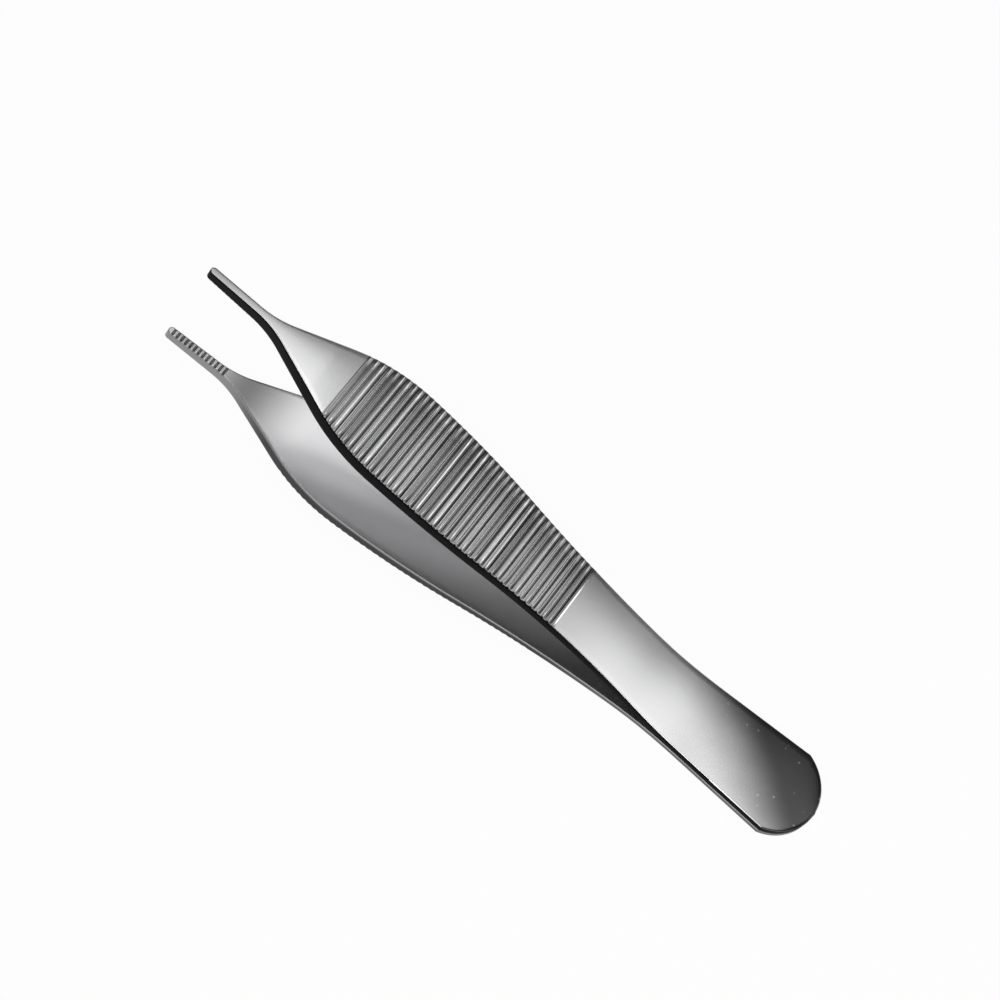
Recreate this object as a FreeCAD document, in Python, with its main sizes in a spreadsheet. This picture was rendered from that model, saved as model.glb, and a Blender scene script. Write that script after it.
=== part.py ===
import FreeCAD, Part

import os
from math import asin, atan2, cos, degrees, hypot, radians, sin, sqrt, tan

import Sketcher
from FreeCAD import Placement, Rotation, Vector

# Broad-handled thumb forceps: two sprung arms, welded face to face at the heel.
# Each arm is drawn with the heel end at x = 0, the tips towards -x, and z = 0
# on the plane where the two arms meet. Millimetres and degrees.

SIZES = {
    "overall_length": 120.0,
    # side view
    "heel_length": 25.5,
    "heel_thickness": 1.15,
    "bend_radius": 25.0,
    "splay_angle": 10.9,
    "bow_radius": 550.0,
    "bow_end_from_tip": 25.4,
    "shoulder_bend_radius": 110.0,
    "shoulder_turn": 2.3,
    "shoulder_thickness": 2.6,
    "jaw_thickness": 1.8,
    # top view
    "jaw_tip_width": 1.3,
    "jaw_root_width": 1.45,
    "jaw_length": 9.0,
    "jaw_fillet_radius": 15.0,
    "flare_angle": 23.0,
    "widest_from_tip": 36.8,
    "grip_width": 17.0,
    "waist_from_heel": 39.5,
    "waist_width": 12.2,
    "handle_swell_radius": 180.0,
    "heel_width": 15.5,
    "heel_round_depth": 5.5,
    # cross grooves of the finger grip
    "groove_count": 41,
    "groove_pitch": 1.12,
    "groove_radius": 0.42,
    "groove_depth": 0.3,
    "groove_start": 1.0,
    # cross notches on the inner faces of the jaws
    "notch_count": 13,
    "notch_pitch": 0.8,
    "notch_depth": 0.22,
    "notch_start": 0.6,
}

# How far the cutting outlines reach past the metal
CLEAR = 5.0

# Slope of the outer face where the bow ends, as the sheet works it out
BOW_END_ANGLE = (
    "asin((sizes.bow_end_from_tip - sizes.overall_length + sizes.heel_length"
    " + (sizes.bend_radius + sizes.bow_radius) * sin(sizes.splay_angle * 1 deg)) / sizes.bow_radius)"
)


def make_sheet(doc):
    """Put every driving size in a spreadsheet cell with its own alias."""
    sheet = doc.addObject("Spreadsheet::Sheet", "sizes")
    for row, (name, value) in enumerate(SIZES.items(), start=1):
        sheet.set(f"A{row}", name)
        sheet.set(f"B{row}", str(value))
        sheet.setAlias(f"B{row}", name)
    return sheet


class SideView:
    """Corner and centre points of the arm's side view, worked out from the sizes."""

    def __init__(self, v):
        self.splay = radians(v["splay_angle"])
        heel, thick = v["heel_length"], v["heel_thickness"]
        bend, bow = v["bend_radius"], v["bow_radius"]
        self.heel_out = (0.0, thick)
        self.bend_out = (-heel, thick)
        self.bend_centre = (-heel, thick + bend)
        self.bow_start = self.at(self.bend_centre, -bend, self.splay)
        self.bow_centre = self.at(self.bow_start, -bow, self.splay)
        bow_end_x = v["bow_end_from_tip"] - v["overall_length"]
        self.bow_end_angle = asin((bow_end_x - self.bow_centre[0]) / bow)
        self.bow_end = self.at(self.bow_centre, bow, self.bow_end_angle)
        shoulder = v["shoulder_bend_radius"]
        self.jaw_angle = self.bow_end_angle - radians(v["shoulder_turn"])
        self.shoulder_centre = self.at(self.bow_end, -shoulder, self.bow_end_angle)
        self.jaw_start = self.at(self.shoulder_centre, shoulder, self.jaw_angle)
        run = self.jaw_start[0] + v["overall_length"]
        self.tip_out = (-v["overall_length"], self.jaw_start[1] + run * tan(self.jaw_angle))
        self.tip_in = self.at(self.tip_out, -v["jaw_thickness"], self.jaw_angle)
        self.shoulder_in = self.at(self.bow_end, -v["shoulder_thickness"], self.bow_end_angle)
        self.bow_in = self.at(self.bow_start, -thick, self.splay)
        self.bend_in = (-heel, 0.0)
        self.heel_in = (0.0, 0.0)
        self.inner_centre = self.centre_below(self.shoulder_in, self.bow_in, bow)
        reach = hypot(-self.bow_centre[0], thick - self.bow_centre[1])
        lean = atan2(-self.bow_centre[0], thick - self.bow_centre[1])
        self.rest_angle = asin(bow / reach) - (radians(90) - lean)

    @staticmethod
    def at(point, distance, angle):
        """The point moved along the outward normal of a face that slopes by angle."""
        return (point[0] + distance * sin(angle), point[1] + distance * cos(angle))

    @staticmethod
    def centre_below(left, right, radius):
        """Centre of the arc through two points that bulges outwards."""
        half = hypot(right[0] - left[0], right[1] - left[1]) / 2
        drop = sqrt(radius**2 - half**2)
        along = ((right[0] - left[0]) / (2 * half), (right[1] - left[1]) / (2 * half))
        mid = ((left[0] + right[0]) / 2, (left[1] + right[1]) / 2)
        return (mid[0] + along[1] * drop, mid[1] - along[0] * drop)


class TopView:
    """Points of half the arm's outline from above, worked out from the sizes."""

    def __init__(self, v):
        tip_x = -v["overall_length"]
        self.tip = (tip_x, v["jaw_tip_width"] / 2)
        self.jaw_root = (tip_x + v["jaw_length"], v["jaw_root_width"] / 2)
        taper = atan2(self.jaw_root[1] - self.tip[1], v["jaw_length"])
        fillet = v["jaw_fillet_radius"]
        self.fillet_centre = (
            self.jaw_root[0] - fillet * sin(taper),
            self.jaw_root[1] + fillet * cos(taper),
        )
        ramp = radians(v["flare_angle"])
        self.ramp_start = (
            self.fillet_centre[0] + fillet * sin(ramp),
            self.fillet_centre[1] - fillet * cos(ramp),
        )
        self.widest = (tip_x + v["widest_from_tip"], v["grip_width"] / 2)
        run = self.widest[0] - self.ramp_start[0]
        rise = self.widest[1] - self.ramp_start[1]
        flare = (run * sin(ramp) - rise * cos(ramp)) / (1 - cos(ramp))
        self.flare_centre = (self.widest[0], self.widest[1] - flare)
        self.ramp_end = (
            self.flare_centre[0] - flare * sin(ramp),
            self.flare_centre[1] + flare * cos(ramp),
        )
        self.waist = (-v["waist_from_heel"], v["waist_width"] / 2)
        fall = self.widest[1] - self.waist[1]
        span = self.waist[0] - self.widest[0]
        curve = (span**2 + fall**2) / (4 * fall)
        self.grip_centre = (self.widest[0], self.widest[1] - curve)
        self.waist_centre = (self.waist[0], self.waist[1] + curve)
        self.turn = ((self.widest[0] + self.waist[0]) / 2, (self.widest[1] + self.waist[1]) / 2)
        self.corner = (-v["heel_round_depth"], v["heel_width"] / 2)
        swell = v["handle_swell_radius"]
        self.swell_centre = (self.waist[0], self.waist[1] + swell)
        to_x = self.swell_centre[0] - self.corner[0]
        to_y = self.swell_centre[1] - self.corner[1]
        reach = hypot(to_x, to_y)
        heading = atan2(to_y, to_x) + asin(swell / reach)
        straight = sqrt(reach**2 - swell**2)
        self.handle_end = (
            self.corner[0] + straight * cos(heading),
            self.corner[1] + straight * sin(heading),
        )
        depth = v["heel_round_depth"]
        self.end_radius = (depth**2 + self.corner[1] ** 2) / (2 * depth)
        self.end_centre = (-self.end_radius, 0.0)
        self.heel = (0.0, 0.0)


class Outline:
    """A sketch that is drawn point to point, with its sizes bound to the sheet."""

    def __init__(self, sketch, flip=1):
        self.sketch = sketch
        self.flip = flip

    def vec(self, point):
        return Vector(point[0], self.flip * point[1], 0)

    def line(self, start, end, guide=False):
        return self.sketch.addGeometry(Part.LineSegment(self.vec(start), self.vec(end)), guide)

    def arc(self, centre, start, end):
        """Short arc from start to end; returns its number and its start and end vertices."""
        c, p, q = self.vec(centre), self.vec(start), self.vec(end)
        first = atan2(p.y - c.y, p.x - c.x)
        last = atan2(q.y - c.y, q.x - c.x)
        forward = (last - first) % radians(360) < radians(180)
        circle = Part.Circle(c, Vector(0, 0, 1), (p - c).Length)
        ends = (first, last) if forward else (last, first)
        number = self.sketch.addGeometry(Part.ArcOfCircle(circle, *ends), False)
        return (number, 1, 2) if forward else (number, 2, 1)

    def rule(self, *words):
        """Add a relation that has no size."""
        self.sketch.addConstraint(Sketcher.Constraint(*words))

    def smooth(self, first, second):
        """Join two pieces end to end in one direction."""
        self.rule("Tangent", *first, *second)

    def join(self, first, second):
        self.rule("Coincident", *first, *second)

    def size(self, name, formula, *words):
        """Add a size and tie it to its formula."""
        number = self.sketch.addConstraint(Sketcher.Constraint(*words))
        self.sketch.renameConstraint(number, name)
        self.sketch.setExpression(f"Constraints.{name}", formula)

    def reading(self, name, *words):
        """Add a measured size that other features can use."""
        number = self.sketch.addConstraint(Sketcher.Constraint(*words))
        self.sketch.setDriving(number, False)
        self.sketch.renameConstraint(number, name)

    def place(self, name, vertex, point, x_formula, y_formula):
        """Hold a vertex at a point whose distances from the origin follow the sheet."""
        self.size(f"{name}_x", x_formula, "DistanceX", -1, 1, *vertex, point[0])
        self.size(f"{name}_y", y_formula, "DistanceY", -1, 1, *vertex, point[1])


ORIGIN = (-1, 1)
X_AXIS = -1


def plane(body, role):
    """The body's own origin plane that plays the given role."""
    return next(f for f in body.Origin.OriginFeatures if f.Role == role)


def new_sketch(body, name, role):
    sketch = body.newObject("Sketcher::SketchObject", name)
    sketch.AttachmentSupport = (plane(body, role), [""])
    sketch.MapMode = "FlatFace"
    return sketch


def draw_side(body, name, side, flip):
    """Side view of an arm: heel, bend, bow, shoulder and jaw, with the inner face."""
    sketch = new_sketch(body, name, "XZ_Plane")
    out = Outline(sketch, flip)
    heel = out.line(side.heel_out, side.bend_out)
    bend, bend_a, bend_b = out.arc(side.bend_centre, side.bend_out, side.bow_start)
    bow, bow_a, bow_b = out.arc(side.bow_centre, side.bow_start, side.bow_end)
    shoulder, sho_a, sho_b = out.arc(side.shoulder_centre, side.bow_end, side.jaw_start)
    jaw = out.line(side.jaw_start, side.tip_out)
    tip = out.line(side.tip_out, side.tip_in)
    jaw_in = out.line(side.tip_in, side.shoulder_in)
    bow_in, bin_a, bin_b = out.arc(side.inner_centre, side.shoulder_in, side.bow_in)
    bend_in, ben_a, ben_b = out.arc(side.bend_centre, side.bow_in, side.bend_in)
    heel_in = out.line(side.bend_in, side.heel_in)
    end = out.line(side.heel_in, side.heel_out)
    bow_wall = out.line(side.bow_in, side.bow_start, guide=True)
    shoulder_wall = out.line(side.shoulder_in, side.bow_end, guide=True)

    out.smooth((heel, 2), (bend, bend_a))
    out.smooth((bend, bend_b), (bow, bow_a))
    out.smooth((bow, bow_b), (shoulder, sho_a))
    out.smooth((shoulder, sho_b), (jaw, 1))
    out.join((jaw, 2), (tip, 1))
    out.join((tip, 2), (jaw_in, 1))
    out.join((jaw_in, 2), (bow_in, bin_a))
    out.join((bow_in, bin_b), (bend_in, ben_a))
    out.smooth((bend_in, ben_b), (heel_in, 1))
    out.join((heel_in, 2), (end, 1))
    out.join((end, 2), (heel, 1))
    out.join((heel_in, 2), ORIGIN)
    out.join((bend_in, 3), (bend, 3))
    out.join((bow_wall, 1), (bow_in, bin_b))
    out.join((bow_wall, 2), (bow, bow_a))
    out.join((shoulder_wall, 1), (bow_in, bin_a))
    out.join((shoulder_wall, 2), (bow, bow_b))
    out.rule("Horizontal", heel)
    out.rule("Vertical", end)
    out.rule("Horizontal", heel_in)
    out.rule("Perpendicular", jaw, tip)
    out.rule("Equal", bow, bow_in)
    out.rule("PointOnObject", bend, 3, bow_wall)
    out.rule("PointOnObject", bow, 3, shoulder_wall)

    v = SIZES
    reach = v["bow_end_from_tip"] - v["overall_length"]
    turn = radians(v["shoulder_turn"])
    out.size("heel_long", "sizes.heel_length", "Distance", heel, v["heel_length"])
    out.size("heel_thick", "sizes.heel_thickness", "Distance", end, v["heel_thickness"])
    out.size("bend", "sizes.bend_radius", "Radius", bend, v["bend_radius"])
    out.size("splay", "sizes.splay_angle * 1 deg", "Angle", bend, side.splay)
    out.size("bow", "sizes.bow_radius", "Radius", bow, v["bow_radius"])
    end_formula = "sizes.bow_end_from_tip - sizes.overall_length"
    out.size("bow_end_x", end_formula, "DistanceX", *ORIGIN, bow, bow_b, reach)
    shoulder_radius = v["shoulder_bend_radius"]
    out.size("shoulder", "sizes.shoulder_bend_radius", "Radius", shoulder, shoulder_radius)
    out.size("turn", "sizes.shoulder_turn * 1 deg", "Angle", shoulder, turn)
    shoulder_thick = v["shoulder_thickness"]
    out.size("shoulder_thick", "sizes.shoulder_thickness", "Distance", shoulder_wall, shoulder_thick)
    out.size("tip_x", "-sizes.overall_length", "DistanceX", *ORIGIN, jaw, 2, side.tip_out[0])
    out.size("jaw_thick", "sizes.jaw_thickness", "Distance", tip, v["jaw_thickness"])
    readings = [
        ("tip_in", (tip, 2), side.tip_in),
        ("shoulder_in", (jaw_in, 2), side.shoulder_in),
        ("bow_centre", (bow, 3), side.bow_centre),
    ]
    for word, vertex, point in readings:
        out.reading(f"{word}_x", "DistanceX", *ORIGIN, *vertex, point[0])
        out.reading(f"{word}_z", "DistanceY", *ORIGIN, *vertex, flip * point[1])
    return sketch


def draw_top(body, name, top):
    """Everything beside one edge of the arm, seen from above, out to a clear border."""
    sketch = new_sketch(body, name, "XY_Plane")
    out = Outline(sketch)
    before = (top.tip[0] - CLEAR, top.tip[1])
    far = top.widest[1] + 2 * CLEAR
    run_in = out.line(before, top.tip)
    jaw = out.line(top.tip, top.jaw_root)
    fillet, fil_a, fil_b = out.arc(top.fillet_centre, top.jaw_root, top.ramp_start)
    ramp = out.line(top.ramp_start, top.ramp_end)
    flare, fla_a, fla_b = out.arc(top.flare_centre, top.ramp_end, top.widest)
    grip, gri_a, gri_b = out.arc(top.grip_centre, top.widest, top.turn)
    waist, wai_a, wai_b = out.arc(top.waist_centre, top.turn, top.waist)
    swell, swe_a, swe_b = out.arc(top.swell_centre, top.waist, top.handle_end)
    handle = out.line(top.handle_end, top.corner)
    end, end_a, end_b = out.arc(top.end_centre, top.corner, top.heel)
    sill = out.line(top.heel, (CLEAR, 0))
    right = out.line((CLEAR, 0), (CLEAR, far))
    back = out.line((CLEAR, far), (before[0], far))
    left = out.line((before[0], far), before)

    out.join((run_in, 2), (jaw, 1))
    out.smooth((jaw, 2), (fillet, fil_a))
    out.smooth((fillet, fil_b), (ramp, 1))
    out.smooth((ramp, 2), (flare, fla_a))
    out.smooth((flare, fla_b), (grip, gri_a))
    out.smooth((grip, gri_b), (waist, wai_a))
    out.smooth((waist, wai_b), (swell, swe_a))
    out.smooth((swell, swe_b), (handle, 1))
    out.join((handle, 2), (end, end_a))
    out.join((end, end_b), (sill, 1))
    out.join((sill, 2), (right, 1))
    out.join((right, 2), (back, 1))
    out.join((back, 2), (left, 1))
    out.join((left, 2), (run_in, 1))
    out.join((sill, 1), ORIGIN)
    out.rule("PointOnObject", end, 3, X_AXIS)
    out.rule("Vertical", flare, 3, flare, fla_b)
    out.rule("Vertical", waist, 3, waist, wai_b)
    out.rule("Equal", grip, waist)
    out.rule("Horizontal", run_in)
    out.rule("Horizontal", sill)
    out.rule("Vertical", right)
    out.rule("Horizontal", back)
    out.rule("Vertical", left)

    v = SIZES
    length = "-sizes.overall_length"
    out.place("tip", (jaw, 1), top.tip, length, "sizes.jaw_tip_width / 2")
    out.place("root", (jaw, 2), top.jaw_root, f"sizes.jaw_length {length}", "sizes.jaw_root_width / 2")
    widest_x = f"sizes.widest_from_tip {length}"
    out.place("widest", (flare, fla_b), top.widest, widest_x, "sizes.grip_width / 2")
    waist_x = "-sizes.waist_from_heel"
    out.place("waist", (waist, wai_b), top.waist, waist_x, "sizes.waist_width / 2")
    corner_x = "-sizes.heel_round_depth"
    out.place("corner", (handle, 2), top.corner, corner_x, "sizes.heel_width / 2")
    fillet_radius = v["jaw_fillet_radius"]
    out.size("fillet", "sizes.jaw_fillet_radius", "Radius", fillet, fillet_radius)
    out.size("ramp", "sizes.flare_angle * 1 deg", "Angle", ramp, radians(v["flare_angle"]))
    swell_radius = v["handle_swell_radius"]
    out.size("swell", "sizes.handle_swell_radius", "Radius", swell, swell_radius)
    far_formula = f"sizes.grip_width / 2 + {2 * CLEAR}"
    out.size("far", far_formula, "DistanceY", *ORIGIN, right, 2, far)
    out.rule("DistanceX", *ORIGIN, right, 2, CLEAR)
    out.rule("Distance", run_in, CLEAR)
    return sketch


def draw_groove(body, name, side, view, flip):
    """One round groove across the outer face, drawn about the centre of the bow."""
    sketch = new_sketch(body, name, "XZ_Plane")
    centre = Vector(side.bow_centre[0], flip * side.bow_centre[1], 0)
    sketch.AttachmentOffset = Placement(centre, Rotation())
    sketch.setExpression("AttachmentOffset.Base.x", f"{view.Name}.Constraints.bow_centre_x")
    sketch.setExpression("AttachmentOffset.Base.y", f"{view.Name}.Constraints.bow_centre_z")
    v = SIZES
    reach = v["bow_radius"] + v["groove_radius"] - v["groove_depth"]
    angle = side.bow_end_angle + v["groove_start"] / v["bow_radius"]
    out = Outline(sketch, flip)
    spot = out.vec((reach * sin(angle), reach * cos(angle)))
    groove = sketch.addGeometry(Part.Circle(spot, Vector(0, 0, 1), v["groove_radius"]), False)
    out.size("groove_radius", "sizes.groove_radius", "Radius", groove, v["groove_radius"])
    far = "(sizes.bow_radius + sizes.groove_radius - sizes.groove_depth)"
    turn = f"({BOW_END_ANGLE} + sizes.groove_start / sizes.bow_radius * 1 rad)"
    spot_x = f"{far} * sin({turn})"
    spot_y = f"{flip} * {far} * cos({turn})"
    out.place("groove", (groove, 3), spot, spot_x, spot_y)
    return sketch


def draw_notch(body, name, side, view, flip, lead, lead_formula):
    """One round notch across the jaw, with a guide line along the jaw's inner face."""
    sketch = new_sketch(body, name, "XZ_Plane")
    out = Outline(sketch, flip)
    face = out.line(side.tip_in, side.shoulder_in, guide=True)
    ends = [("tip_in", 1, side.tip_in), ("shoulder_in", 2, side.shoulder_in)]
    for word, vertex, point in ends:
        readings = [f"{view.Name}.Constraints.{word}_{axis}" for axis in ("x", "z")]
        out.place(word, (face, vertex), out.vec(point), *readings)
    radius = SIZES["notch_depth"]
    along = out.vec(side.shoulder_in) - out.vec(side.tip_in)
    spot = out.vec(side.tip_in) + along * (lead / along.Length)
    notch = sketch.addGeometry(Part.Circle(spot, Vector(0, 0, 1), radius), False)
    out.rule("PointOnObject", notch, 3, face)
    out.size("depth", "sizes.notch_depth", "Radius", notch, radius)
    out.size("lead", lead_formula, "Distance", face, 1, notch, 3, lead)
    return sketch


def cut(body, name, sketch):
    """Cut the sketch right across the width, or right through the height."""
    pocket = body.newObject("PartDesign::Pocket", name)
    pocket.Profile = sketch
    pocket.Type = "ThroughAll"
    pocket.SideType = "Symmetric"
    return pocket


def repeat_grooves(body, name, first, sketch, flip):
    pattern = body.newObject("PartDesign::PolarPattern", name)
    pattern.Originals = [first]
    pattern.Axis = (sketch, ["N_Axis"])
    pattern.Mode = "Spacing"
    pattern.Reversed = flip > 0
    pattern.setExpression("Offset", "sizes.groove_pitch / sizes.bow_radius * 1 rad")
    pattern.setExpression("Occurrences", "sizes.groove_count")
    body.Tip = pattern
    return pattern


def repeat_notches(body, name, first, sketch):
    pattern = body.newObject("PartDesign::LinearPattern", name)
    pattern.Originals = [first]
    pattern.Direction = (sketch, ["Axis0"])
    pattern.Mode = "Spacing"
    pattern.setExpression("Offset", "sizes.notch_pitch")
    pattern.setExpression("Occurrences", "sizes.notch_count")
    body.Tip = pattern
    return pattern


def make_arm(doc, label, flip, side, top):
    """One arm: side view across the width, trimmed from above, grooved and notched."""
    body = doc.addObject("PartDesign::Body", label)
    body.Label = label
    tag = label.split("_")[0]
    view = draw_side(body, f"{tag}_side_view", side, flip)
    blank = body.newObject("PartDesign::Pad", f"{tag}_blank")
    blank.Profile = view
    blank.SideType = "Symmetric"
    blank.Length = SIZES["grip_width"] + CLEAR
    blank.setExpression("Length", f"sizes.grip_width + {CLEAR}")
    beside = draw_top(body, f"{tag}_top_view", top)
    trim = cut(body, f"{tag}_trim", beside)
    both = body.newObject("PartDesign::Mirrored", f"{tag}_trim_both_sides")
    both.Originals = [trim]
    both.MirrorPlane = (plane(body, "XZ_Plane"), [""])
    body.Tip = both
    doc.recompute()
    ring = draw_groove(body, f"{tag}_groove_view", side, view, flip)
    groove = cut(body, f"{tag}_groove", ring)
    repeat_grooves(body, f"{tag}_grooves", groove, ring, flip)
    doc.recompute()
    lead, lead_formula = SIZES["notch_start"], "sizes.notch_start"
    if flip < 0:
        lead += SIZES["notch_pitch"] / 2
        lead_formula += " + sizes.notch_pitch / 2"
    dot = draw_notch(body, f"{tag}_notch_view", side, view, flip, lead, lead_formula)
    notch = cut(body, f"{tag}_notch", dot)
    repeat_notches(body, f"{tag}_notches", notch, dot)
    doc.recompute()
    return body


def lay_down(doc, arms, side):
    """Rest the lower arm on its heel end and its bow, centred over the origin."""
    tilt = Rotation(Vector(0, 1, 0), degrees(side.rest_angle))
    for arm in arms:
        arm.Placement = Placement(Vector(0, 0, 0), tilt)
    doc.recompute()
    box = Part.makeCompound([arm.Shape for arm in arms]).optimalBoundingBox(False, False)
    middle = Vector(-box.Center.x, -box.Center.y, -box.ZMin)
    for arm in arms:
        arm.Placement = Placement(middle, tilt)
    doc.recompute()


def check(doc, arms):
    """Stop if any feature failed or any arm is not one valid solid."""
    for thing in doc.Objects:
        bad = {"Invalid", "Error"} & set(thing.State)
        if bad:
            raise RuntimeError(f"{thing.Name}: {thing.State} {thing.getStatusString()}")
    for arm in arms:
        shape = arm.Shape
        if shape.isNull() or not shape.isValid() or len(shape.Solids) != 1:
            raise RuntimeError(f"{arm.Label} is not one valid solid")


def main():
    doc = FreeCAD.newDocument("thumb_forceps")
    make_sheet(doc)
    side = SideView(SIZES)
    top = TopView(SIZES)
    arms = [
        make_arm(doc, "upper_arm", 1, side, top),
        make_arm(doc, "lower_arm", -1, side, top),
    ]
    lay_down(doc, arms, side)
    check(doc, arms)
    os.makedirs("parts", exist_ok=True)
    for arm in arms:
        arm.Shape.exportStep(f"parts/{arm.Label}.step")
        print(arm.Label, round(arm.Shape.Volume, 1), "mm3", arm.Shape.optimalBoundingBox(False, False))


main()
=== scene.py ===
"""Looks of a pair of broad-handled thumb forceps: two sprung satin steel arms that lie on a pale table."""

import logging
from collections.abc import Callable
from dataclasses import dataclass, field
from enum import Enum
from math import asin, atan2, cos, hypot, pi, radians, sin, sqrt, tan

import bpy
import numpy as np
from mathutils import Matrix, Vector

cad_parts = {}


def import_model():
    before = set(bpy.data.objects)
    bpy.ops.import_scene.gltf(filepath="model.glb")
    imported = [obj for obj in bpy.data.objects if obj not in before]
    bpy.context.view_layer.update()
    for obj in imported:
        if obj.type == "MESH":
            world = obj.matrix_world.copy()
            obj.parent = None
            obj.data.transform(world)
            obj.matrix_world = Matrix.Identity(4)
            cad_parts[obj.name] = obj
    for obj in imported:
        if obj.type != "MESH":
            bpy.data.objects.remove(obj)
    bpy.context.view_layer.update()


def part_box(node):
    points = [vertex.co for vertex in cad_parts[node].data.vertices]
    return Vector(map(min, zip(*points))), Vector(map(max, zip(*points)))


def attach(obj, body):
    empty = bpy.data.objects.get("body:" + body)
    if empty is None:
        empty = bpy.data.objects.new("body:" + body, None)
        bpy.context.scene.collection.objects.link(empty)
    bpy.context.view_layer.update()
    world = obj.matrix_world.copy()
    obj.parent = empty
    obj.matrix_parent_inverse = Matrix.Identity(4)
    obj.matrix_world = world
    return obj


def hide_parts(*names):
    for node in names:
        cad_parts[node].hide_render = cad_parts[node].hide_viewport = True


LOG = logging.getLogger("forceps")
MM = 0.001
WELD_REACH = 2e-7
WHITE = (1.0, 1.0, 1.0, 1.0)


class Side(Enum):
    """Which way an arm's outer face looks."""

    UPPER = 1
    LOWER = -1


class Zone(Enum):
    """Parts of an arm's skin that are finished differently, in the order of their material slots; WALL and
    EDGE are the rims of the upper and the lower arm, painted dark as shade.
    """

    FACE = 0
    GRIP = 1
    WALL = 2
    EDGE = 3
    INNER = 4


class Wire:
    """A shader socket that takes part in sums and products written as Python."""

    def __init__(self, recipe: "Recipe", socket: bpy.types.NodeSocket) -> None:
        """Hold a socket of the recipe's tree."""
        self.recipe = recipe
        self.socket = socket

    def _maths(self, operation: str, first: object, second: object) -> "Wire":
        """Add one Math node and return its result."""
        return self.recipe.node("ShaderNodeMath", {"operation": operation}, {0: first, 1: second})

    def __add__(self, other: object) -> "Wire":
        """Sum."""
        return self._maths("ADD", self, other)

    __radd__ = __add__

    def __sub__(self, other: object) -> "Wire":
        """Difference."""
        return self._maths("SUBTRACT", self, other)

    def __rsub__(self, other: object) -> "Wire":
        """Reflected difference."""
        return self._maths("SUBTRACT", other, self)

    def __mul__(self, other: object) -> "Wire":
        """Product."""
        return self._maths("MULTIPLY", self, other)

    __rmul__ = __mul__

    def above(self, level: float) -> "Wire":
        """One where the value is over the level, else nought."""
        return self._maths("GREATER_THAN", self, level)

    def size(self) -> "Wire":
        """The value without its sign."""
        return self._maths("ABSOLUTE", self, 0.0)

    def most(self, other: object) -> "Wire":
        """The larger of two values."""
        return self._maths("MAXIMUM", self, other)


class Recipe:
    """Builds one node tree from short expressions."""

    def __init__(self, tree: bpy.types.NodeTree) -> None:
        """Empty the tree that is to be built."""
        self.tree = tree
        tree.nodes.clear()

    def node(self, kind: str, settings: dict, sockets: dict, output: int | str = 0) -> Wire:
        """Add a node of any kind.

        Args:
            kind: the node's type.
            settings: properties set before its sockets; "stops" fills a colour ramp.
            sockets: values or wires by socket name or number.
            output: the result that is wanted, by name or number.

        Returns:
            The wanted output.
        """
        made = self.tree.nodes.new(kind)
        for name, value in settings.items():
            if name == "stops":
                self._fill_ramp(made.color_ramp, value)
            else:
                setattr(made, name, value)
        for name, value in sockets.items():
            if isinstance(value, Wire):
                self.tree.links.new(value.socket, made.inputs[name])
            else:
                made.inputs[name].default_value = value
        return Wire(self, made.outputs[output])

    @staticmethod
    def _fill_ramp(ramp: bpy.types.ColorRamp, stops: list[tuple[float, float]]) -> None:
        """Give a ramp its grey stops, each a place and a level."""
        while len(ramp.elements) > 1:
            ramp.elements.remove(ramp.elements[-1])
        for number, (place, level) in enumerate(stops):
            element = ramp.elements[0] if number == 0 else ramp.elements.new(place)
            element.position = place
            element.color = (level, level, level, 1.0)

    def rise(self, value: Wire, low: float, high: float) -> Wire:
        """Soft step from nought at low to one at high."""
        span = {"Value": value, "From Min": low, "From Max": high}
        return self.node("ShaderNodeMapRange", {"interpolation_type": "SMOOTHSTEP"}, span)

    def finish(self, kind: str, socket: str, shader: Wire) -> None:
        """Link the shader to the tree's output node."""
        end = self.tree.nodes.new(kind)
        self.tree.links.new(shader.socket, end.inputs[socket])


@dataclass(frozen=True)
class PaintedShadeRamp:
    """A stretch over which painted shade darkens the metal's colour.

    Args:
        start: where it starts, in metres along X.
        end: where it is complete.
        level: share of the brightness that is left.
        lean: how far along X it shifts for each step across.
        waver: how far its edge wavers with the metal's uneven tone, in metres.
    """

    start: float
    end: float
    level: float
    lean: float = 0.0
    waver: float = 0.003


@dataclass(frozen=True)
class PaintedShadeBand:
    """A cross band of painted shade, or of painted highlight where its level is over one.

    Args:
        middle: its middle, in metres along X.
        reach: half its width, in metres.
        level: brightness at its middle over that of the metal beside it.
    """

    middle: float
    reach: float
    level: float


# Painted shade in the steel's colour: the heel end of the outer faces, and the inner faces toward the
# heel.
HEEL_PAINTED_SHADE = PaintedShadeRamp(start=0.033, end=0.0545, level=0.1, lean=1.2)
INNER_PAINTED_SHADE = PaintedShadeRamp(start=-0.022, end=-0.005, level=0.5, lean=-3.1)
# Bands of painted shade: on the inner faces by the jaw root, and across the outer faces.
ROOT_SHADE_BANDS = (
    PaintedShadeBand(middle=-0.0455, reach=0.0115, level=0.24),
    PaintedShadeBand(middle=-0.0565, reach=0.0075, level=0.42),
)
FACE_SHADE_BANDS = (
    PaintedShadeBand(middle=-0.058, reach=0.026, level=0.5),
    PaintedShadeBand(middle=0.011, reach=0.014, level=0.65),
)


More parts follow.
